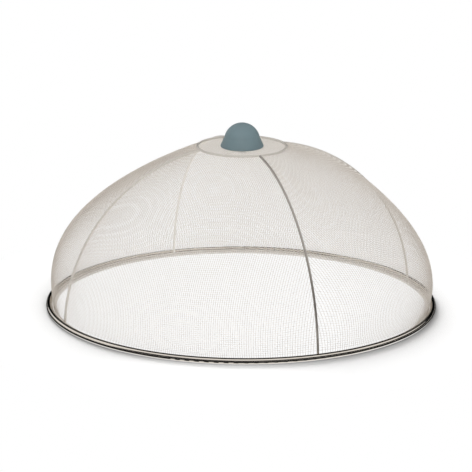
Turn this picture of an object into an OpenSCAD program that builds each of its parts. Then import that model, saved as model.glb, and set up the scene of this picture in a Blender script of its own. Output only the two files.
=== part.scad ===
// Wire-mesh food cover: four mesh gores on a wire frame, a rolled rim, a mesh crown and a knob.
// The origin is the middle of the ring that the rim stands on, with +Z up.
// Angles round the cover are counted from the front, -Y, towards +X.

/* [Rim] */
// Outside diameter of the rim
rim_d = 404; // [360:2:440]
// Diameter of the rim's rolled bead
bead_d = 6; // [5:0.2:8]
// Thickness of the rim's sheet steel
rim_sheet = 0.6; // [0.4:0.1:0.7]
// Width of the open gutter between the bead and the mesh beside a rib
gutter_w = 2.8; // [2:0.2:4]
// Height of the lip behind the mesh's hem
lip_h = 1.6; // [1.2:0.2:3]
// Height at which the mesh bends into its upright hem
mouth_h = 5; // [4:0.5:7]
// Depth by which the bead is pressed flat where it stands
bead_flat = 0.2; // [0.1:0.05:0.3]

/* [Frame] */
// Diameter of the wire of the ribs and the crown ring
wire_d = 2.4; // [1.6:0.2:3.2]
// Radius of the crown ring at the middle of its wire
ring_r = 45.5; // [40:0.5:60]
// Height of the middle of the crown ring
ring_z = 168; // [150:1:185]
// Radius that each rib is bent to
rib_bend = 175; // [165:1:200]

/* [Mesh] */
// Thickness of the woven mesh
mesh_t = 0.8; // [0.5:0.1:1]
// Angle below level at which the middle of a gore leaves the crown
gore_slope = 22; // [16:1:28]
// Length over which the middle of a gore keeps that slope
gore_reach = 105; // [90:5:120]
// Angle from upright at which the middle of a gore leans out over the rim
gore_lean = 18; // [10:1:26]
// Length over which the middle of a gore keeps that lean
gore_shoulder = 70; // [50:5:80]
// Depth of the crown mesh below the middle of its ring
crown_drop = 1; // [0:0.2:2]
// Openings across a gore, in the coarse grid that stands for the weave
gore_across = 10; // [6:1:12]
// Openings down a gore, in that grid
gore_down = 8; // [6:1:12]
// Openings across the crown mesh, in that grid
crown_across = 10; // [8:1:12]
// Share of the grid's pitch that its bars take up
bar_share = 0.2; // [0.1:0.05:0.4]

/* [Knob] */
// Diameter of the knob's round top
knob_d = 37; // [32:1:40]
// Height of the knob
knob_h = 24.8; // [22:0.2:30]
// Diameter of the knob's flared foot
foot_d = 44; // [43:1:50]
// Thickness of the foot's round edge
foot_t = 2.4; // [2:0.2:3]
// Height above the centre of the round top at which the flare begins
flare_rise = 4; // [2:0.5:6]
// Wall of the hollow knob
knob_wall = 3; // [2:0.2:4]
// Diameter of the boss in the middle of the knob
boss_d = 11; // [10:0.5:14]
// Thickness of the webs between boss and wall
web_t = 1.6; // [1:0.2:2.4]

/* [Fastening] */
// Diameter of the screw
screw_d = 4; // [3:0.5:5]
// Length of screw held in the knob's insert
screw_grip = 8; // [6:0.5:8.5]
// Diameter of the screw's head
head_d = 8; // [7:0.5:10]
// Height of the screw's head
head_h = 2.6; // [2:0.2:3]
// Width of the cross in the screw's head
cross_w = 1; // [0.8:0.1:1.2]
// Outside diameter of the brass insert
insert_d = 6.4; // [6.2:0.2:8]
// Length of the brass insert
insert_l = 9; // [9:0.5:12]
// Outside diameter of the spring washer
spring_d = 7.4; // [6.4:0.2:9]
// Thickness of the spring washer
spring_t = 1; // [0.8:0.1:1.4]
// Outside diameter of the backing washer
backing_d = 30; // [20:1:40]
// Thickness of the backing washer
backing_t = 1.2; // [0.8:0.1:1.6]

/* [Clearances] */
// Gap between a mesh edge and the wire that it is welded to
weld_gap = 0.2; // [0.15:0.05:0.3]
// Gap between the mesh's hem and the rim, and round the screw in the crown mesh
hem_gap = 0.4; // [0.35:0.05:0.6]
// Gap between the ribs and the rim, and under the hem
seat_gap = 0.3; // [0.2:0.05:0.4]
// Gap round the core wire inside the bead
core_gap = 0.2; // [0.1:0.05:0.4]
// Gap between the turning knob and the crown, above and below
turn_gap = 0.3; // [0.2:0.05:0.4]
// Radial clearance of the screw in the backing washer
run_gap = 0.08; // [0.05:0.01:0.1]
// Radial clearance of the pieces fastened to the screw
fix_gap = 0.05; // [0.03:0.01:0.06]

/* [Hidden] */
$fn = 96;
gore_names = ["panel_front", "panel_right", "panel_back", "panel_left"];
rib_names = ["rib_front_right", "rib_back_right", "rib_back_left", "rib_front_left"];

gores = len(gore_names);
gore_turn = 360 / gores;
half_gore = gore_turn / 2;
wire_r = wire_d / 2;
weld_r = wire_r + weld_gap;

// Rim: the hem stands in the gutter, near the lip beside a rib and near the bead between two ribs
bead_r = bead_d / 2;
bead_pos = [rim_d / 2 - bead_r, bead_r - bead_flat];
skirt_r = bead_pos.x - bead_r - gutter_w - mesh_t / 2;
lip_r = skirt_r - mesh_t / 2 - hem_gap;
hem_z = rim_sheet + seat_gap;
core_r = bead_r - rim_sheet - core_gap;
rib_foot_z = lip_h + seat_gap;

// Rib: one arc from the crown ring to the top of the hem, as a radius and a height
ring_pos = [ring_r, ring_z];
mouth_pos = [skirt_r, mouth_h];
rib_chord = mouth_pos - ring_pos;
rib_half_turn = asin(norm(rib_chord) / 2 / rib_bend);
rib_top_angle = 90 + atan2(rib_chord.y, rib_chord.x) + rib_half_turn;
rib_centre = ring_pos - rib_bend * [cos(rib_top_angle), sin(rib_top_angle)];
rib_length = rib_bend * rib_half_turn * PI / 90;
rib_from = rib_top_angle - weld_r / rib_bend * 180 / PI;
rib_to = asin((rib_foot_z - rib_centre.y) / rib_bend);

// Gore: its middle is flatter than the ribs near the crown, fuller at the shoulder and wider at the rim
gore_rows = grid_lines(gore_down);
gore_cols = grid_lines(gore_across);
mouth_row = len(gore_rows) - 1;
gore_start = weld_r / rib_length;
slope_step = 0.001;
middle_foot = mouth_pos + [gutter_w - hem_gap, 0];
middle_curve = [
    ring_pos,
    ring_pos + gore_reach * [cos(gore_slope), -sin(gore_slope)],
    middle_foot + gore_shoulder * [sin(gore_lean), cos(gore_lean)],
    middle_foot
];

// Crown, with the knob on top and its washers below
crown_z = ring_z - crown_drop;
crown_r = ring_r - weld_r;
crown_top = crown_z + mesh_t / 2;
crown_under = crown_z - mesh_t / 2;
crown_hole_r = screw_d / 2 + hem_gap;
crown_pitch = 2 * crown_r / crown_across;
crown_bar = bar_share * crown_pitch;
crown_opening = crown_pitch - crown_bar;
knob_z = crown_top + turn_gap;
spring_top = crown_under - backing_t - turn_gap;
head_top = spring_top - spring_t;
screw_r = screw_d / 2;
cross_l = 0.6 * head_d;
cross_depth = head_h / 2;
split_angle = 8;

// Knob: a round top that flares in a straight line to a foot with a round edge
knob_r = knob_d / 2;
dome_z = knob_h - knob_r;
foot_edge_r = foot_t / 2;
foot_pos = [foot_d / 2 - foot_edge_r, foot_edge_r];
flare_top = [sqrt(pow(knob_r, 2) - pow(flare_rise, 2)), dome_z + flare_rise];
flare_run = flare_top - foot_pos;
flare_lean = atan2(flare_run.y, flare_run.x) - acos(foot_edge_r / norm(flare_run));
flare_foot = foot_pos + foot_edge_r * [cos(flare_lean), sin(flare_lean)];
hollow_r = knob_r - knob_wall;
boss_r = boss_d / 2;
web_count = 4;
insert_recess = 0.5;
pilot_spare = 2;
pilot_h = insert_recess + insert_l + pilot_spare;

mesh_grey = [0.82, 0.81, 0.79];
bright_steel = [0.75, 0.75, 0.76];
wire_steel = [0.58, 0.56, 0.54];
slate_blue = [0.45, 0.52, 0.53];
brass = [0.80, 0.66, 0.36];

// Points of the two curves that a gore is stretched between, t from the crown (0) to the rim (1)
function rib_at(t) =
    let (a = rib_top_angle - 2 * rib_half_turn * t)
    rib_centre + rib_bend * [cos(a), sin(a)];
function middle_at(t) =
    pow(1 - t, 3) * middle_curve[0] + 3 * pow(1 - t, 2) * t * middle_curve[1]
    + 3 * (1 - t) * pow(t, 2) * middle_curve[2] + pow(t, 3) * middle_curve[3];

// Share of the way from a gore's middle curve to the rib's curve at an angle from the middle
function drawn(angle) = (1 / cos(angle) - 1) / (1 / cos(half_gore) - 1);

// Angle at which a gore stops beside the wire of its rib
function edge_angle(t) = half_gore - asin(weld_r / rib_at(t).x);

function placed(pos, angle) = [pos.x * sin(angle), -pos.x * cos(angle), pos.y];

// Radius and height of a gore's middle sheet at an angle from its middle
function gore_profile(t, angle) =
    let (middle = middle_at(t))
    middle + (rib_at(t) - middle) * drawn(angle);

// A point of that sheet, k from the gore's left edge (-1) to its right edge (1)
function gore_point(t, k) =
    let (angle = k * edge_angle(t))
    placed(gore_profile(t, angle), angle);

function gore_normal(t, k) =
    let (
        down = gore_point(min(t + slope_step, 1), k) - gore_point(max(t - slope_step, 0), k),
        along = gore_point(t, min(k + slope_step, 1)) - gore_point(t, max(k - slope_step, -1)),
        out = cross(down, along)
    )
    out / norm(out);

// Edges of a row of openings and of the bars between them, as shares of the row's length
function grid_lines(count) = [
    0,
    for (i = [0 : count - 1]) each [i + bar_share / 2, i + 1 - bar_share / 2] / count,
    1
];

// Whether a cell between two of those edges each way is an opening: every second one, above the hem
function is_opening(row, col) = row % 2 == 1 && col % 2 == 1 && row < mouth_row;

// One face of a gore: its curved rows and then the foot of its hem
function gore_face(side) = [
    for (row = [0 : mouth_row + 1], col = [0 : len(gore_cols) - 1])
        let (
            k = 2 * gore_cols[col] - 1,
            t = gore_start + (1 - gore_start) * gore_rows[min(row, mouth_row)],
            half_t = side * mesh_t / 2
        )
        row > mouth_row
            ? placed([gore_profile(1, k * edge_angle(1)).x + half_t, hem_z], k * edge_angle(1))
            : gore_point(t, k) + half_t * gore_normal(t, k)
];

// Faces through the sheet along a closed loop of points of its outer face
function wall_faces(loop, back) = [
    for (i = [0 : len(loop) - 1])
        let (
            a = loop[i],
            b = loop[(i + 1) % len(loop)]
        )
        each [[b, a, a + back], [b, a + back, b + back]]
];

module gore(turn) {
    rows = mouth_row + 1;
    width = len(gore_cols);
    last = width - 1;
    back = (rows + 1) * width;
    bars = [
        for (row = [0 : rows - 1], col = [0 : last - 1])
            if (!is_opening(row, col)) row * width + col
    ];
    openings = [
        for (row = [0 : rows - 1], col = [0 : last - 1])
            if (is_opening(row, col)) row * width + col
    ];
    border = concat(
        [for (col = [0 : last - 1]) col],
        [for (row = [0 : rows - 1]) row * width + last],
        [for (col = [last : -1 : 1]) rows * width + col],
        [for (row = [rows : -1 : 1]) row * width]
    );
    outer_faces = [for (c = bars) each [[c, c + 1, c + width + 1], [c, c + width + 1, c + width]]];
    inner_faces = [for (f = outer_faces) [f[2] + back, f[1] + back, f[0] + back]];
    opening_faces = [for (c = openings) each wall_faces([c + 1, c, c + width, c + width + 1], back)];
    color(mesh_grey)
    rotate([0, 0, turn])
    polyhedron(
        points = concat(gore_face(1), gore_face(-1)),
        faces = concat(outer_faces, inner_faces, wall_faces(border, back), opening_faces),
        convexity = 4
    );
}

// A rib is a wire bent to one radius, welded to the crown ring and standing on the rim
module rib(turn) {
    color(wire_steel)
    rotate([0, 0, turn - 90])
    translate([rib_centre.x, 0, rib_centre.y])
    rotate([90, 0, 0])
    rotate([0, 0, rib_to])
    rotate_extrude(angle = rib_from - rib_to)
    translate([rib_bend, 0])
    circle(d = wire_d);
}

// The rim is one strip: a lip behind the hem, a floor, and a bead rolled round the core wire
module rolled_rim() {
    color(bright_steel)
    rotate_extrude()
    difference() {
        union() {
            intersection() {
                translate(bead_pos)
                circle(r = bead_r);
                translate([bead_pos.x - bead_d, 0])
                square(2 * bead_d);
            }
            translate([lip_r - rim_sheet, 0])
            square([bead_pos.x - lip_r + rim_sheet, rim_sheet]);
            translate([lip_r - rim_sheet, 0])
            square([rim_sheet, lip_h]);
        }
        translate(bead_pos)
        circle(r = bead_r - rim_sheet);
    }
}

module rim_core_wire() {
    color(wire_steel)
    rotate_extrude()
    translate(bead_pos)
    circle(r = core_r);
}

module crown_ring() {
    color(wire_steel)
    rotate_extrude()
    translate(ring_pos)
    circle(d = wire_d);
}

// Places of the crown's openings: clear of its edge and of the washer below it
function crown_openings() =
    let (half = crown_opening / 2)
    [
        for (i = [0 : crown_across - 1], j = [0 : crown_across - 1])
            let (
                place = [i + 0.5, j + 0.5] * crown_pitch - [crown_r, crown_r],
                away = [abs(place.x), abs(place.y)],
                near = [max(away.x - half, 0), max(away.y - half, 0)],
                far = away + [half, half]
            )
            if (norm(near) > backing_d / 2 && norm(far) < crown_r - crown_bar) place
    ];

module crown_mesh() {
    color(mesh_grey)
    translate([0, 0, crown_under])
    difference() {
        cylinder(r = crown_r, h = mesh_t);
        translate([0, 0, -mesh_t])
        cylinder(r = crown_hole_r, h = 3 * mesh_t);
        for (place = crown_openings())
            translate(place)
            cube([crown_opening, crown_opening, 3 * mesh_t], center = true);
    }
}

module ring_washer(r, bore_r, t) {
    difference() {
        cylinder(r = r, h = t);
        translate([0, 0, -t])
        cylinder(r = bore_r, h = 3 * t);
    }
}

module backing_washer() {
    color(bright_steel)
    translate([0, 0, crown_under - backing_t])
    ring_washer(backing_d / 2, screw_r + run_gap, backing_t);
}

// Half of the knob's outline: its round top, the flare and the foot's round edge
module knob_outline() {
    intersection() {
        translate([0, dome_z])
        circle(r = knob_r);
        translate([0, dome_z])
        square(knob_r);
    }
    polygon([[0, 0], [foot_pos.x, 0], flare_foot, flare_top, [0, flare_top.y]]);
    translate(foot_pos)
    circle(r = foot_edge_r);
}

// Half of the hollow inside the knob
module knob_hollow() {
    intersection() {
        translate([0, dome_z])
        circle(r = hollow_r);
        translate([0, dome_z])
        square(hollow_r);
    }
    translate([0, -dome_z])
    square([hollow_r, 2 * dome_z]);
}

// The hollow is moulded round a boss, with webs from the boss to the wall
module knob() {
    color(slate_blue)
    translate([0, 0, knob_z])
    difference() {
        rotate_extrude()
        knob_outline();
        difference() {
            rotate_extrude()
            knob_hollow();
            cylinder(r = boss_r, h = knob_h);
            for (i = [0 : web_count - 1])
                rotate([0, 0, i * 360 / web_count])
                translate([0, -web_t / 2, foot_t])
                cube([knob_r, web_t, knob_h]);
        }
        translate([0, 0, -insert_recess])
        cylinder(r = insert_d / 2 + fix_gap, h = 2 * insert_recess + insert_l);
        cylinder(r = screw_r + run_gap, h = pilot_h);
    }
}

module knob_insert() {
    color(brass)
    translate([0, 0, knob_z + insert_recess])
    ring_washer(insert_d / 2, screw_r + fix_gap, insert_l);
}

module knob_screw() {
    color(bright_steel)
    union() {
        translate([0, 0, head_top])
        cylinder(r = screw_r, h = knob_z + insert_recess + screw_grip - head_top);
        translate([0, 0, head_top - head_h])
        difference() {
            cylinder(d = head_d, h = head_h);
            for (turn = [0, 90])
                rotate([0, 0, turn])
                translate([-cross_l / 2, -cross_w / 2, -cross_depth])
                cube([cross_l, cross_w, 2 * cross_depth]);
        }
    }
}

// A split washer that keeps the screw from working loose
module spring_washer() {
    color(bright_steel)
    translate([0, 0, head_top])
    rotate_extrude(angle = 360 - split_angle)
    translate([screw_r + fix_gap, 0])
    square([spring_d / 2 - screw_r - fix_gap, spring_t]);
}

rolled_rim();
rim_core_wire();
crown_ring();
crown_mesh();
for (i = [0 : gores - 1])
    gore(i * gore_turn);
for (i = [0 : gores - 1])
    rib(i * gore_turn + half_gore);
backing_washer();
knob();
knob_insert();
knob_screw();
spring_washer();
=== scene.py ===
"""Looks of the food cover: woven wire gores on a wire frame, a polished rim and a moulded knob."""

import math

import bmesh
import bpy
import numpy as np
from mathutils import Matrix, Vector


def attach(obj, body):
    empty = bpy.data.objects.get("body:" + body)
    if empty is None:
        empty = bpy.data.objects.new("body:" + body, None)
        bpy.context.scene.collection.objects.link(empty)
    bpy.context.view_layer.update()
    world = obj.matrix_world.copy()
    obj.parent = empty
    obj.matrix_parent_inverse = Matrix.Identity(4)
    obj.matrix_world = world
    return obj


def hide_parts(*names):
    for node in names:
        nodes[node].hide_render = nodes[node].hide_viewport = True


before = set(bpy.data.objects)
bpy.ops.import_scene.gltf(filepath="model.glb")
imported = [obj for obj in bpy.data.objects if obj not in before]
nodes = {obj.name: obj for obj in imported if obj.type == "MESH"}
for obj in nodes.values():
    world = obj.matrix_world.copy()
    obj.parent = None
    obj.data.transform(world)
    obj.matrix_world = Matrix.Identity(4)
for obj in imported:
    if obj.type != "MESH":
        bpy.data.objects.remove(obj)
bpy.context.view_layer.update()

# Sizes of the part, repeated from its source, in metres and radians
SKIRT_R, MOUTH_BULGE = 0.1928, 0.0024
MOUTH_H = 0.005
HEM_Z = 0.0009
WIRE_R = 0.0012
BEAD_R, BEAD_Z = 0.199, 0.0028
RING_R, RING_Z = 0.0455, 0.168
RIB_BEND = 0.175
GORE_SLOPE, GORE_REACH = math.radians(22), 0.105
GORE_LEAN, GORE_SHOULDER = math.radians(18), 0.070
CROWN_Z = 0.167
CROWN_HOLE_R = 0.0024
HALF_GORE = math.pi / 4
GORES = ("front", "right", "back", "left")

# The woven mesh: thin wire with openings of a couple of millimetres, its ends sunk a little into the frame
PITCH = 0.0020
WARP_R, WEFT_R = 0.00016, 0.00017
WELD_SINK = 0.0003
CURVE_POINTS, HALVINGS, NORMAL_STEP = 4001, 40, 1e-4

# The rim's finish: where its dull inner side ends, and the painted shade line along the bead with its soft
# edge
DULL_R = BEAD_R - 0.0006
DULL_Z, BRIGHT_Z = BEAD_Z - 0.0002, BEAD_Z + 0.0008
LINE_R, LINE_HALF, LINE_END = BEAD_R + 0.0007, 0.0010, 0.0013

# The photograph's camera, and its directions on the floor
CAMERA_TURN = math.radians(22.14)
CAMERA_BACK, CAMERA_UP = 2.457, 0.7509
CAMERA_YAW, CAMERA_PITCH, CAMERA_ROLL = 0.0023, 0.2693, 0.0057
SENSOR, LENS, VIEW_END = 36, 188.3, 100
RIGHT = Vector((math.cos(CAMERA_TURN), math.sin(CAMERA_TURN), 0))
AWAY = Vector((-math.sin(CAMERA_TURN), math.cos(CAMERA_TURN), 0))

# Fill light: from the walls and from overhead, faded between two shares of the way to either side
HORIZON_FILL, OVERHEAD_FILL, SIDE_SHARE = 2.35, 1.4, 0.02
SIDE_START, SIDE_END = 0.12, 0.62

# Floor: a hair under the rim, white below the cover and far off, with the cover's soft painted shade
# between
FLOOR_HALF, FLOOR_Z = 12, -0.00005
LIT_FLOOR_R, MIRRORED_FLOOR_R, LIT_EDGE = 0.2005, 0.2017, 0.0005
SHADOW_END_R, WHITE_FLOOR_R = 0.25, 0.31
SHADE_REACH, SHADE_POWER, SHADE_SAMPLES = 0.065, 0.75, 16
FLOOR_GAIN = 0.81

# Ring of black flags: its height steps at these shares of the way back, and it is highest straight behind
FLAG_R, FLAG_FOOT, FLAG_SEGMENTS = 4.0, 0.01, 64
FRONT_FLAG_H, LEFT_FLAG_H, RIGHT_FLAG_H, BACK_FLAG_H = 2.5, 0.35, 1.4, 26
FLAG_STEPS = (-0.5, -0.2, 0.88, 0.95)

# Lamps: each place is to the photograph's right, away from its camera, and up
SOFTBOX_POWER, SOFTBOX_SIZE = 3, 3.0
SOFTBOX_AT, SOFTBOX_AIM = (-0.8, 0.6, 2.6), (0, 0, 0.05)
LOW_LIGHT, LOW_LIGHT_SPREAD = 6.3, math.radians(30)
LOW_LIGHT_AT, LOW_LIGHT_AIM = (-0.28, 0.955, 0.26), (0, 0, 0)
SPOT_POWER, SPOT_CONE, SPOT_SOFT_R = 20, math.radians(12.5), 0.05
SPOT_AT, SPOT_AIM = (-0.025, -0.815, 0.8), (-0.025, -0.212, 0)


# Camera
def make_camera():
    """The photograph's long view from the front, a little above the cover."""
    data = bpy.data.cameras.new("camera")
    data.sensor_width = SENSOR
    data.lens = LENS
    data.clip_end = VIEW_END
    camera = bpy.data.objects.new("camera", data)
    bpy.context.scene.collection.objects.link(camera)
    place = Vector((CAMERA_BACK * math.sin(CAMERA_TURN), -CAMERA_BACK * math.cos(CAMERA_TURN), CAMERA_UP))
    turn = Matrix.Rotation(CAMERA_TURN + CAMERA_YAW, 4, "Z")
    tilt = Matrix.Rotation(math.pi / 2 - CAMERA_PITCH, 4, "X")
    roll = Matrix.Rotation(CAMERA_ROLL, 4, "Z")
    camera.matrix_world = Matrix.Translation(place) @ turn @ tilt @ roll
    bpy.context.scene.camera = camera


# Materials
def linear(hex_colour):
    """An sRGB hex colour as linear RGBA."""
    values = [int(hex_colour[i : i + 2], 16) / 255 for i in (1, 3, 5)]
    return tuple(v / 12.92 if v <= 0.04045 else ((v + 0.055) / 1.055) ** 2.4 for v in values) + (1.0,)


WHITE = linear("#FFFFFF")


def scale_for(size_mm):
    """Noise scale that makes features of this many millimetres, for coordinates in metres."""
    return 1000 / size_mm


def add(tree, kind, inputs=None, **settings):
    """A node with its settings; an input is a value or another node's output."""
    node = tree.nodes.new(kind)
    for name, value in settings.items():
        setattr(node, name, value)
    for name, value in (inputs or {}).items():
        if isinstance(value, bpy.types.NodeSocket):
            tree.links.new(value, node.inputs[name])
        else:
            node.inputs[name].default_value = value
    return node


def new_material(name):
    """An empty material and its node tree."""
    material = bpy.data.materials.new(name)
    material.use_nodes = True
    material.node_tree.nodes.clear()
    return material, material.node_tree


def about_axis(tree):
    """Object coordinates, the distance from the upright axis, and the height."""
    place = add(tree, "ShaderNodeTexCoord").outputs["Object"]
    parts = add(tree, "ShaderNodeSeparateXYZ", {"Vector": place})
    flat = add(tree, "ShaderNodeCombineXYZ", {"X": parts.outputs["X"], "Y": parts.outputs["Y"]})
    radius = add(tree, "ShaderNodeVectorMath", {0: flat.outputs["Vector"]}, operation="LENGTH")
    return place, radius.outputs["Value"], parts.outputs["Z"]


def woven_stainless(name, dark, light):
    """Dull drawn stainless wire, woven: each strand is a pale grey with soft highlights."""
    material, tree = new_material(name)
    place = add(tree, "ShaderNodeTexCoord").outputs["Object"]
    # Patches of tone some eight strands wide, and a dullness drawn coarser than real drawing lines, to show
    patches = add(tree, "ShaderNodeTexNoise", {"Vector": place, "Scale": scale_for(16.7), "Detail": 3.0})
    fine = add(tree, "ShaderNodeTexNoise", {"Vector": place, "Scale": scale_for(1.11), "Detail": 2.0})
    tone = add(
        tree,
        "ShaderNodeMix",
        {"Factor": patches.outputs["Fac"], "A": linear(dark), "B": linear(light)},
        data_type="RGBA",
    )
    rough = add(tree, "ShaderNodeMapRange", {"Value": fine.outputs["Fac"], "To Min": 0.55, "To Max": 0.7})
    surface = add(
        tree,
        "ShaderNodeBsdfPrincipled",
        {"Base Color": tone.outputs["Result"], "Metallic": 0.1, "Roughness": rough.outputs["Result"]},
    )
    add(tree, "ShaderNodeOutputMaterial", {"Surface": surface.outputs["BSDF"]})
    return material


def drawn_stainless(name, dark, light, metallic):
    """Drawn stainless wire with streaks, in a tone and metallic share given per piece; the tones paint
    light and shade on one wire.
    """
    material, tree = new_material(name)
    place = add(tree, "ShaderNodeTexCoord").outputs["Object"]
    # Real drawing streaks are hundredths of a millimetre wide, so they are drawn coarser to show
    streaks = add(tree, "ShaderNodeTexNoise", {"Vector": place, "Scale": scale_for(2.5), "Detail": 4.0})
    tone = add(
        tree,
        "ShaderNodeMix",
        {"Factor": streaks.outputs["Fac"], "A": linear(dark), "B": linear(light)},
        data_type="RGBA",
    )
    rough = add(
        tree,
        "ShaderNodeMapRange",
        {"Value": streaks.outputs["Fac"], "To Min": 0.25, "To Max": 0.36},
    )
    surface = add(
        tree,
        "ShaderNodeBsdfPrincipled",
        {"Base Color": tone.outputs["Result"], "Metallic": metallic, "Roughness": rough.outputs["Result"]},
    )
    add(tree, "ShaderNodeOutputMaterial", {"Surface": surface.outputs["BSDF"]})
    return material


def polished_stainless():
    """Rolled stainless strip: clear light and dark bands where polished, pale and dull low inside."""
    material, tree = new_material("polished_stainless_strip")
    place, radius, height = about_axis(tree)
    # Polishing lines run round the rim, coarser than real ones to show; wiping leaves smears a finger wide
    round_rim = add(tree, "ShaderNodeCombineXYZ", {"X": radius, "Y": height}).outputs["Vector"]
    lines = add(tree, "ShaderNodeTexNoise", {"Vector": round_rim, "Scale": scale_for(0.333), "Detail": 2.0})
    smears = add(tree, "ShaderNodeTexNoise", {"Vector": place, "Scale": scale_for(22.2), "Detail": 3.0})
    inner = add(
        tree,
        "ShaderNodeMapRange",
        {"Value": radius, "From Min": DULL_R, "From Max": BEAD_R, "To Min": 1.0, "To Max": 0.0},
    )
    dull = add(
        tree,
        "ShaderNodeMapRange",
        {
            "Value": height,
            "From Min": DULL_Z,
            "From Max": BRIGHT_Z,
            "To Min": inner.outputs["Result"],
            "To Max": 0.0,
        },
    ).outputs["Result"]
    polish = add(
        tree,
        "ShaderNodeMapRange",
        {"Value": smears.outputs["Fac"], "To Min": 0.03, "To Max": 0.07},
    )
    rough = add(tree, "ShaderNodeMix", {"Factor": dull, "A": polish.outputs["Result"], "B": 0.5})
    bare = add(tree, "ShaderNodeMapRange", {"Value": dull, "To Min": 1.0, "To Max": 0.0})
    bright = add(
        tree,
        "ShaderNodeMix",
        {"Factor": smears.outputs["Fac"], "A": linear("#D1C9BF"), "B": linear("#DFD8CE")},
        data_type="RGBA",
    )
    # Painted shade: a dark line runs along the top of the bead
    off_line = add(tree, "ShaderNodeMath", {0: radius, 1: LINE_R}, operation="SUBTRACT")
    from_line = add(tree, "ShaderNodeMath", {0: off_line.outputs["Value"]}, operation="ABSOLUTE")
    above = add(tree, "ShaderNodeMath", {0: height, 1: BEAD_Z}, operation="GREATER_THAN")
    on_line = add(
        tree,
        "ShaderNodeMapRange",
        {
            "Value": from_line.outputs["Value"],
            "From Min": LINE_HALF,
            "From Max": LINE_END,
            "To Min": above.outputs["Value"],
            "To Max": 0.0,
        },
    )
    lined = add(
        tree,
        "ShaderNodeMix",
        {"Factor": on_line.outputs["Result"], "A": bright.outputs["Result"], "B": linear("#3C3832")},
        data_type="RGBA",
    )
    tone = add(
        tree,
        "ShaderNodeMix",
        {"Factor": dull, "A": lined.outputs["Result"], "B": linear("#FDFAF6")},
        data_type="RGBA",
    )
    bump = add(
        tree,
        "ShaderNodeBump",
        {"Height": lines.outputs["Fac"], "Strength": 0.02, "Distance": 0.0001},
    )
    surface = add(
        tree,
        "ShaderNodeBsdfPrincipled",
        {
            "Base Color": tone.outputs["Result"],
            "Metallic": bare.outputs["Result"],
            "Roughness": rough.outputs["Result"],
            "Normal": bump.outputs["Normal"],
        },
    )
    add(tree, "ShaderNodeOutputMaterial", {"Surface": surface.outputs["BSDF"]})
    return material


def moulded_plastic():
    """Moulded satin plastic, slate blue-grey: even in colour, with a fine spark-eroded grain."""
    material, tree = new_material("moulded_slate_plastic")
    place = add(tree, "ShaderNodeTexCoord").outputs["Object"]
    # Slight clouds from the melt's flow, and a grain drawn coarser than a real spark-eroded one, to show
    cloud = add(tree, "ShaderNodeTexNoise", {"Vector": place, "Scale": scale_for(14.3), "Detail": 2.0})
    grain = add(tree, "ShaderNodeTexNoise", {"Vector": place, "Scale": scale_for(0.4), "Detail": 3.0})
    tone = add(
        tree,
        "ShaderNodeMix",
        {"Factor": cloud.outputs["Fac"], "A": linear("#758A90"), "B": linear("#7C9197")},
        data_type="RGBA",
    )
    bump = add(
        tree,
        "ShaderNodeBump",
        {"Height": grain.outputs["Fac"], "Strength": 0.25, "Distance": 0.00005},
    )
    rough = add(tree, "ShaderNodeMapRange", {"Value": grain.outputs["Fac"], "To Min": 0.5, "To Max": 0.64})
    surface = add(
        tree,
        "ShaderNodeBsdfPrincipled",
        {
            "Base Color": tone.outputs["Result"],
            "Roughness": rough.outputs["Result"],
            "IOR": 1.5,
            "Normal": bump.outputs["Normal"],
        },
    )
    add(tree, "ShaderNodeOutputMaterial", {"Surface": surface.outputs["BSDF"]})
    return material


def turned_metal(name, dark, light):
    """Small turned or plated pieces: bright metal with rings left by the tool."""
    material, tree = new_material(name)
    radius = about_axis(tree)[1]
    # Rings a quarter of a millimetre apart, as a quick feed leaves them
    rings = add(tree, "ShaderNodeTexNoise", {"W": radius, "Scale": scale_for(0.25)}, noise_dimensions="1D")
    tone = add(
        tree,
        "ShaderNodeMix",
        {"Factor": rings.outputs["Fac"], "A": linear(dark), "B": linear(light)},
        data_type="RGBA",
    )
    rough = add(tree, "ShaderNodeMapRange", {"Value": rings.outputs["Fac"], "To Min": 0.2, "To Max": 0.34})
    surface = add(
        tree,
        "ShaderNodeBsdfPrincipled",
        {"Base Color": tone.outputs["Result"], "Metallic": 1.0, "Roughness": rough.outputs["Result"]},
    )
    add(tree, "ShaderNodeOutputMaterial", {"Surface": surface.outputs["BSDF"]})
    return material


def finish_solids():
    """Each solid that stays in sight or inside gets a finish; the frame's wires get one finish in three
    tones, two of them painted.
    """
    finishes = (
        (polished_stainless(), ("rolled_rim",)),
        (moulded_plastic(), ("knob",)),
        (turned_metal("turned_brass", "#B99A55", "#CDB06C"), ("knob_insert",)),
        (
            turned_metal("bright_plated_steel", "#B9B9B8", "#CFCFCE"),
            ("knob_screw", "spring_washer", "backing_washer"),
        ),
        # One wire in three tones: painted shade on the front right rib, painted light on the back left rib,
        # a middle tone on the rest
        (drawn_stainless("stainless_wire_painted_shade", "#A09A93", "#AEA8A1", 0.75), ("rib_front_right",)),
        (
            drawn_stainless("stainless_wire_mid_tone", "#D3CDC5", "#E1DBD3", 0.2),
            ("crown_ring", "rim_core_wire", "rib_back_right", "rib_front_left"),
        ),
        (drawn_stainless("stainless_wire_painted_light", "#F0EBE4", "#FAF6F0", 0.05), ("rib_back_left",)),
    )
    for material, names in finishes:
        for name in names:
            nodes[name].data.materials.clear()
            nodes[name].data.materials.append(material)


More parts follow.
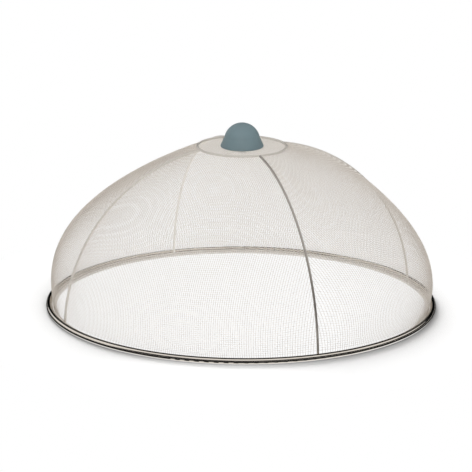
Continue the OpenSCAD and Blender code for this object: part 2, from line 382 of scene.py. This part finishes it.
# Shape of a gore: its edges follow ribs bent to one radius, and its middle a fuller curve of four handles
ring_pos = np.array([RING_R, RING_Z])
mouth_pos = np.array([SKIRT_R, MOUTH_H])
middle_foot = mouth_pos + np.array([MOUTH_BULGE, 0])
chord = mouth_pos - ring_pos
half_turn = math.asin(np.linalg.norm(chord) / 2 / RIB_BEND)
top_angle = math.pi / 2 + math.atan2(chord[1], chord[0]) + half_turn
rib_centre = ring_pos - RIB_BEND * np.array([math.cos(top_angle), math.sin(top_angle)])
rib_length = 2 * RIB_BEND * half_turn
middle_handles = np.array(
    [
        ring_pos,
        ring_pos + GORE_REACH * np.array([math.cos(GORE_SLOPE), -math.sin(GORE_SLOPE)]),
        middle_foot + GORE_SHOULDER * np.array([math.sin(GORE_LEAN), math.cos(GORE_LEAN)]),
        middle_foot,
    ]
)


def rib_at(t):
    """Radius and height on a rib's arc, t from the crown (0) to the rim (1)."""
    a = top_angle - 2 * half_turn * t
    return rib_centre[0] + RIB_BEND * np.cos(a), rib_centre[1] + RIB_BEND * np.sin(a)


def middle_at(t):
    """Radius and height on the middle of a gore."""
    weights = ((1 - t) ** 3, 3 * (1 - t) ** 2 * t, 3 * (1 - t) * t**2, t**3)
    return tuple(sum(w * handle[i] for w, handle in zip(weights, middle_handles)) for i in (0, 1))


def gore_profile(t, angle):
    """Radius and height of a gore at an angle from its middle."""
    drawn = (1 / np.cos(angle) - 1) / (1 / math.cos(HALF_GORE) - 1)
    middle, rib = middle_at(t), rib_at(t)
    return tuple(m + (r - m) * drawn for m, r in zip(middle, rib))


def gore_point(t, angle):
    """Point of the front gore."""
    radius, height = gore_profile(t, angle)
    return np.stack(np.broadcast_arrays(radius * np.sin(angle), -radius * np.cos(angle), height), -1)


def gore_normal(t, angle):
    """Direction straight out of the front gore."""
    down = gore_point(t + NORMAL_STEP, angle) - gore_point(t - NORMAL_STEP, angle)
    along = gore_point(t, angle + NORMAL_STEP) - gore_point(t, angle - NORMAL_STEP)
    out = np.cross(down, along)
    return out / np.linalg.norm(out, axis=-1, keepdims=True)


def edge_angle(t, clear):
    """Angle at which a gore is that far from the middle of its rib's wire."""
    return HALF_GORE - np.arcsin(clear / rib_at(t)[0])


def angle_across(t, across):
    """Angle at which a gore is that far to the side of its middle, by halving."""
    shape = np.broadcast(t, across).shape
    low = np.full(shape, -HALF_GORE)
    high = np.full(shape, HALF_GORE)
    for _ in range(HALVINGS):
        angle = (low + high) / 2
        short = gore_profile(t, angle)[0] * np.sin(angle) < across
        low, high = np.where(short, angle, low), np.where(short, high, angle)
    return (low + high) / 2


def gore_strands():
    """Wires of the front gore that run down it and across it, each a list of points."""
    touch = WIRE_R - WELD_SINK
    top_t = touch / rib_length
    fine_t = np.linspace(0, 1, CURVE_POINTS)
    radius, height = middle_at(fine_t)
    run = np.concatenate([[0], np.cumsum(np.hypot(np.diff(radius), np.diff(height)))])
    rows_at = np.arange(WIRE_R + PITCH / 2, run[-1] - PITCH / 4, PITCH)
    row_t = np.interp(rows_at, run, fine_t)
    edge = edge_angle(fine_t, touch)
    edge_across = gore_profile(fine_t, edge)[0] * np.sin(edge)
    half_count = int(edge_across[-1] / PITCH)
    columns = (np.arange(-half_count, half_count) + 0.5) * PITCH
    t, across = row_t[:, None], columns[None, :]
    angle = angle_across(t, across)
    crossing = gore_point(t, angle)
    normal = gore_normal(np.broadcast_to(t, angle.shape), angle)
    inside = np.abs(angle) < edge_angle(t, WIRE_R + PITCH / 4)
    over = np.where(np.add.outer(np.arange(len(row_t)), np.arange(len(columns))) % 2 == 0, 1.0, -1.0)
    lift = normal * (over * (WARP_R + WEFT_R) / 2)[..., None]
    down_strands, cross_strands = [], []
    for j, x in enumerate(columns):
        rows = np.flatnonzero(inside[:, j])
        start_t = max(top_t, np.interp(abs(x), edge_across, fine_t))
        start = gore_point(start_t, angle_across(start_t, x))
        mouth = gore_point(1.0, angle_across(1.0, x))
        hem = np.array([mouth[0], mouth[1], HEM_Z])
        points = crossing[rows, j] + lift[rows, j]
        down_strands.append(np.concatenate([[start], points, [mouth], [hem]]))
    for k, row in enumerate(row_t):
        places = np.flatnonzero(inside[k])
        end = edge_angle(row, touch)
        points = crossing[k, places] - lift[k, places]
        cross_strands.append(np.concatenate([[gore_point(row, -end)], points, [gore_point(row, end)]]))
    return down_strands, cross_strands


def crown_strands():
    """Wires of the flat crown that run along X and along Y, left out round the screw."""
    reach = RING_R - math.sqrt(WIRE_R**2 - (RING_Z - CROWN_Z) ** 2) + WELD_SINK / 2
    half_count = int(reach / PITCH)
    lines = (np.arange(-half_count, half_count) + 0.5) * PITCH
    sets = []
    for flip in (1, -1):
        strands = []
        for j, y in enumerate(lines):
            end = math.sqrt(reach**2 - y**2)
            points = [(-end, y, CROWN_Z)]
            for k, x in enumerate(lines):
                if abs(x) < end - PITCH / 4:
                    over = flip if (j + k) % 2 == 0 else -flip
                    points.append((x, y, CROWN_Z + over * (WARP_R + WEFT_R) / 2))
            points.append((end, y, CROWN_Z))
            runs = [points]
            if abs(y) < CROWN_HOLE_R + WEFT_R:
                clear = CROWN_HOLE_R + PITCH / 2
                runs = [[p for p in points if p[0] < -clear], [p for p in points if p[0] > clear]]
            strands += [np.array(run) for run in runs]
        if flip < 0:
            strands = [np.stack([s[:, 1], s[:, 0], s[:, 2]], -1) for s in strands]
        sets.append(strands)
    return sets


def turned(points, angle):
    """Points turned about the upright axis."""
    c, s = math.cos(angle), math.sin(angle)
    return points @ np.array([[c, s, 0], [-s, c, 0], [0, 0, 1]])


def wire_piece(name, strands, radius, material):
    """A piece made of many wires: poly splines with a four-sided bevel, made a mesh and shaded round."""
    curve = bpy.data.curves.new(name + "_lines", "CURVE")
    curve.dimensions = "3D"
    curve.bevel_depth = radius
    curve.bevel_resolution = 0
    curve.use_fill_caps = True
    for points in strands:
        spline = curve.splines.new("POLY")
        spline.points.add(len(points) - 1)
        spline.points.foreach_set("co", np.c_[points, np.ones(len(points))].astype(np.float32).ravel())
    lines = bpy.data.objects.new(name + "_lines", curve)
    bpy.context.scene.collection.objects.link(lines)
    graph = bpy.context.evaluated_depsgraph_get()
    mesh = bpy.data.meshes.new_from_object(lines.evaluated_get(graph))
    bpy.data.objects.remove(lines)
    bpy.data.curves.remove(curve)
    mesh.name = name
    mesh.shade_smooth()
    mesh.materials.clear()
    mesh.materials.append(material)
    piece = bpy.data.objects.new(name, mesh)
    bpy.context.scene.collection.objects.link(piece)
    return piece


def weave_cover():
    """The woven gores and crown stand for the CAD's coarse sheets."""
    # Warp and weft are the same wire: the warp's darker tone is painted shade, the weft's paler tone is
    # painted light
    warp = ("warp", WARP_R, woven_stainless("woven_stainless_warp_painted_shade", "#CCC3B9", "#D7CEC4"))
    weft = ("weft", WEFT_R, woven_stainless("woven_stainless_weft_painted_light", "#F5F0E9", "#FCF8F2"))
    down, across = gore_strands()
    for i, gore in enumerate(GORES):
        angle = i * math.pi / 2
        for (way, radius, material), strands in zip((warp, weft), (down, across)):
            piece = wire_piece(f"{gore}_{way}", [turned(s, angle) for s in strands], radius, material)
            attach(piece, "cover")
            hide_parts("panel_" + gore)
    for (way, radius, material), strands in zip((weft, warp), crown_strands()):
        piece = wire_piece(f"crown_{way}", strands, radius, material)
        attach(piece, "cover")
        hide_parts("crown_mesh")


# Studio
def ray_kinds(tree):
    """Whether a ray is seen, straight or through glass; is mirrored; or is either of these."""
    light_path = add(tree, "ShaderNodeLightPath")
    mirrored = light_path.outputs["Is Glossy Ray"]
    seen = add(
        tree,
        "ShaderNodeMath",
        {0: light_path.outputs["Is Camera Ray"], 1: light_path.outputs["Is Transmission Ray"]},
        operation="MAXIMUM",
    ).outputs["Value"]
    either = add(tree, "ShaderNodeMath", {0: seen, 1: mirrored}, operation="MAXIMUM").outputs["Value"]
    return seen, mirrored, either


def make_world():
    """White to the eye and in reflections; its light is strongest low down, before and behind the cover."""
    world = bpy.data.worlds.new("studio")
    bpy.context.scene.world = world
    world.use_nodes = True
    tree = world.node_tree
    tree.nodes.clear()
    either = ray_kinds(tree)[2]
    way = add(tree, "ShaderNodeTexCoord").outputs["Generated"]
    parts = add(tree, "ShaderNodeSeparateXYZ", {"Vector": way})
    level = add(
        tree,
        "ShaderNodeMapRange",
        {"Value": parts.outputs["Z"], "To Min": HORIZON_FILL, "To Max": OVERHEAD_FILL},
    )
    aside = add(tree, "ShaderNodeVectorMath", {0: way, 1: RIGHT}, operation="DOT_PRODUCT")
    spread = add(tree, "ShaderNodeMath", {0: aside.outputs["Value"]}, operation="ABSOLUTE")
    share = add(
        tree,
        "ShaderNodeMapRange",
        {
            "Value": spread.outputs["Value"],
            "From Min": SIDE_START,
            "From Max": SIDE_END,
            "To Min": 1.0,
            "To Max": SIDE_SHARE,
        },
    )
    strength = add(
        tree,
        "ShaderNodeMath",
        {0: level.outputs["Result"], 1: share.outputs["Result"]},
        operation="MULTIPLY",
    )
    fill = add(tree, "ShaderNodeBackground", {"Color": WHITE, "Strength": strength.outputs["Value"]})
    white = add(tree, "ShaderNodeBackground", {"Color": WHITE, "Strength": 1.0})
    mixed = add(
        tree,
        "ShaderNodeMixShader",
        {0: either, 1: fill.outputs["Background"], 2: white.outputs["Background"]},
    )
    add(tree, "ShaderNodeOutputWorld", {"Surface": mixed.outputs["Shader"]})


def studio_paper():
    """Paper floor: white below the cover and far off, with painted shade round the rim, painted dark there
    in reflections.
    """
    material, tree = new_material("studio_floor")
    seen, mirrored, either = ray_kinds(tree)
    # Painted shade: the floor's colour darkens where the rim and the cover stand near it
    near = add(tree, "ShaderNodeAmbientOcclusion", {"Distance": SHADE_REACH}, samples=SHADE_SAMPLES)
    shade = add(tree, "ShaderNodeMath", {0: near.outputs["AO"], 1: SHADE_POWER}, operation="POWER")
    seen_tone = add(
        tree,
        "ShaderNodeMath",
        {0: shade.outputs["Value"], 1: FLOOR_GAIN},
        operation="MULTIPLY",
    )
    # Reflections see a dark floor, painted shade for the bead to mirror; other bounces see a pale one
    other_tone = add(
        tree,
        "ShaderNodeMix",
        {"Factor": mirrored, "A": linear("#EDEDED"), "B": linear("#262626")},
        data_type="RGBA",
    )
    tone = add(
        tree,
        "ShaderNodeMix",
        {"Factor": seen, "A": other_tone.outputs["Result"], "B": seen_tone.outputs["Value"]},
        data_type="RGBA",
        clamp_result=False,
    )
    paper = add(tree, "ShaderNodeBsdfDiffuse", {"Color": tone.outputs["Result"]})
    # The floor below the cover ends a little further out in reflections, under the bead
    place = add(tree, "ShaderNodeTexCoord").outputs["Object"]
    radius = add(tree, "ShaderNodeVectorMath", {0: place}, operation="LENGTH").outputs["Value"]
    reach = add(tree, "ShaderNodeMix", {"Factor": mirrored, "A": LIT_FLOOR_R, "B": MIRRORED_FLOOR_R})
    margin = add(tree, "ShaderNodeMath", {0: reach.outputs["Result"], 1: radius}, operation="SUBTRACT")
    below = add(
        tree,
        "ShaderNodeMapRange",
        {"Value": margin.outputs["Value"], "From Min": -LIT_EDGE, "From Max": LIT_EDGE, "To Max": either},
    )
    far = add(
        tree,
        "ShaderNodeMapRange",
        {"Value": radius, "From Min": SHADOW_END_R, "From Max": WHITE_FLOOR_R, "To Max": either},
        interpolation_type="SMOOTHSTEP",
    )
    lit = add(
        tree,
        "ShaderNodeMath",
        {0: below.outputs["Result"], 1: far.outputs["Result"]},
        operation="MAXIMUM",
    )
    glow = add(tree, "ShaderNodeEmission", {"Color": WHITE, "Strength": 1.0})
    surface = add(
        tree,
        "ShaderNodeMixShader",
        {0: lit.outputs["Value"], 1: paper.outputs["BSDF"], 2: glow.outputs["Emission"]},
    )
    add(tree, "ShaderNodeOutputMaterial", {"Surface": surface.outputs["Shader"]})
    return material


def black_velvet():
    """Velvet cloth: all but black from every side."""
    material, tree = new_material("black_velvet_flag")
    velvet = add(tree, "ShaderNodeBsdfDiffuse", {"Color": linear("#191919")})
    add(tree, "ShaderNodeOutputMaterial", {"Surface": velvet.outputs["BSDF"]})
    return material


def from_bmesh(name, bm, material):
    """An object with the bmesh's shape, which is used up."""
    mesh = bpy.data.meshes.new(name)
    bm.to_mesh(mesh)
    bm.free()
    mesh.materials.append(material)
    piece = bpy.data.objects.new(name, mesh)
    bpy.context.scene.collection.objects.link(piece)
    return piece


def make_floor():
    """A wide sheet of paper, just below the rim so that the two don't flicker."""
    bm = bmesh.new()
    bmesh.ops.create_grid(bm, x_segments=1, y_segments=1, size=FLOOR_HALF)
    bmesh.ops.translate(bm, vec=(0, 0, FLOOR_Z), verts=bm.verts)
    floor = from_bmesh("floor", bm, studio_paper())
    return floor


def make_flags():
    """A ring of black flags that shows in reflections only, and gives the bead its dark bands."""
    bm = bmesh.new()
    ring = bmesh.ops.create_circle(bm, segments=FLAG_SEGMENTS, radius=FLAG_R)["verts"]
    bmesh.ops.translate(bm, vec=(0, 0, FLAG_FOOT), verts=ring)
    wall = bmesh.ops.extrude_edge_only(bm, edges=bm.edges[:])["geom"]
    for part in wall:
        if isinstance(part, bmesh.types.BMVert):
            behind = part.co.xy.dot(AWAY.xy) / FLAG_R
            side_h = RIGHT_FLAG_H if part.co.xy.dot(RIGHT.xy) > 0 else LEFT_FLAG_H
            part.co.z += np.interp(behind, FLAG_STEPS, (FRONT_FLAG_H, side_h, side_h, BACK_FLAG_H))
    flags = from_bmesh("flags", bm, black_velvet())
    flags.visible_camera = False
    flags.visible_diffuse = False
    flags.visible_shadow = False


def new_lamp(name, kind, power, at, aim):
    """A lamp at one place of the studio, turned to another."""
    data = bpy.data.lights.new(name, kind)
    data.energy = power
    lamp = bpy.data.objects.new(name, data)
    place, target = (v[0] * RIGHT + v[1] * AWAY + Vector((0, 0, v[2])) for v in (at, aim))
    lamp.location = place
    lamp.rotation_mode = "QUATERNION"
    lamp.rotation_quaternion = (place - target).to_track_quat("Z", "Y")
    bpy.context.scene.collection.objects.link(lamp)
    return lamp


def make_lamps(floor):
    """A softbox for all, and two lights that fall on the floor alone; rim and knob shade the low one."""
    softbox = new_lamp("overhead_softbox", "AREA", SOFTBOX_POWER, SOFTBOX_AT, SOFTBOX_AIM)
    softbox.data.shape = "SQUARE"
    softbox.data.size = SOFTBOX_SIZE

    low = new_lamp("low_floor_light", "SUN", LOW_LIGHT, LOW_LIGHT_AT, LOW_LIGHT_AIM)
    low.data.angle = LOW_LIGHT_SPREAD
    shading = bpy.data.collections.new("shades_low_floor_light")
    for name in ("rolled_rim", "knob"):
        shading.objects.link(nodes[name])
    low.light_linking.blocker_collection = shading

    front = new_lamp("front_floor_spot", "SPOT", SPOT_POWER, SPOT_AT, SPOT_AIM)
    front.data.spot_size = SPOT_CONE
    front.data.spot_blend = 1.0
    front.data.shadow_soft_size = SPOT_SOFT_R
    front.data.use_shadow = False

    lit_floor = bpy.data.collections.new("lit_by_floor_lights")
    lit_floor.objects.link(floor)
    for lamp in (low, front):
        lamp.light_linking.receiver_collection = lit_floor


make_camera()
finish_solids()
weave_cover()
bpy.context.scene.view_settings.view_transform = "Standard"
make_world()
make_lamps(make_floor())
make_flags()
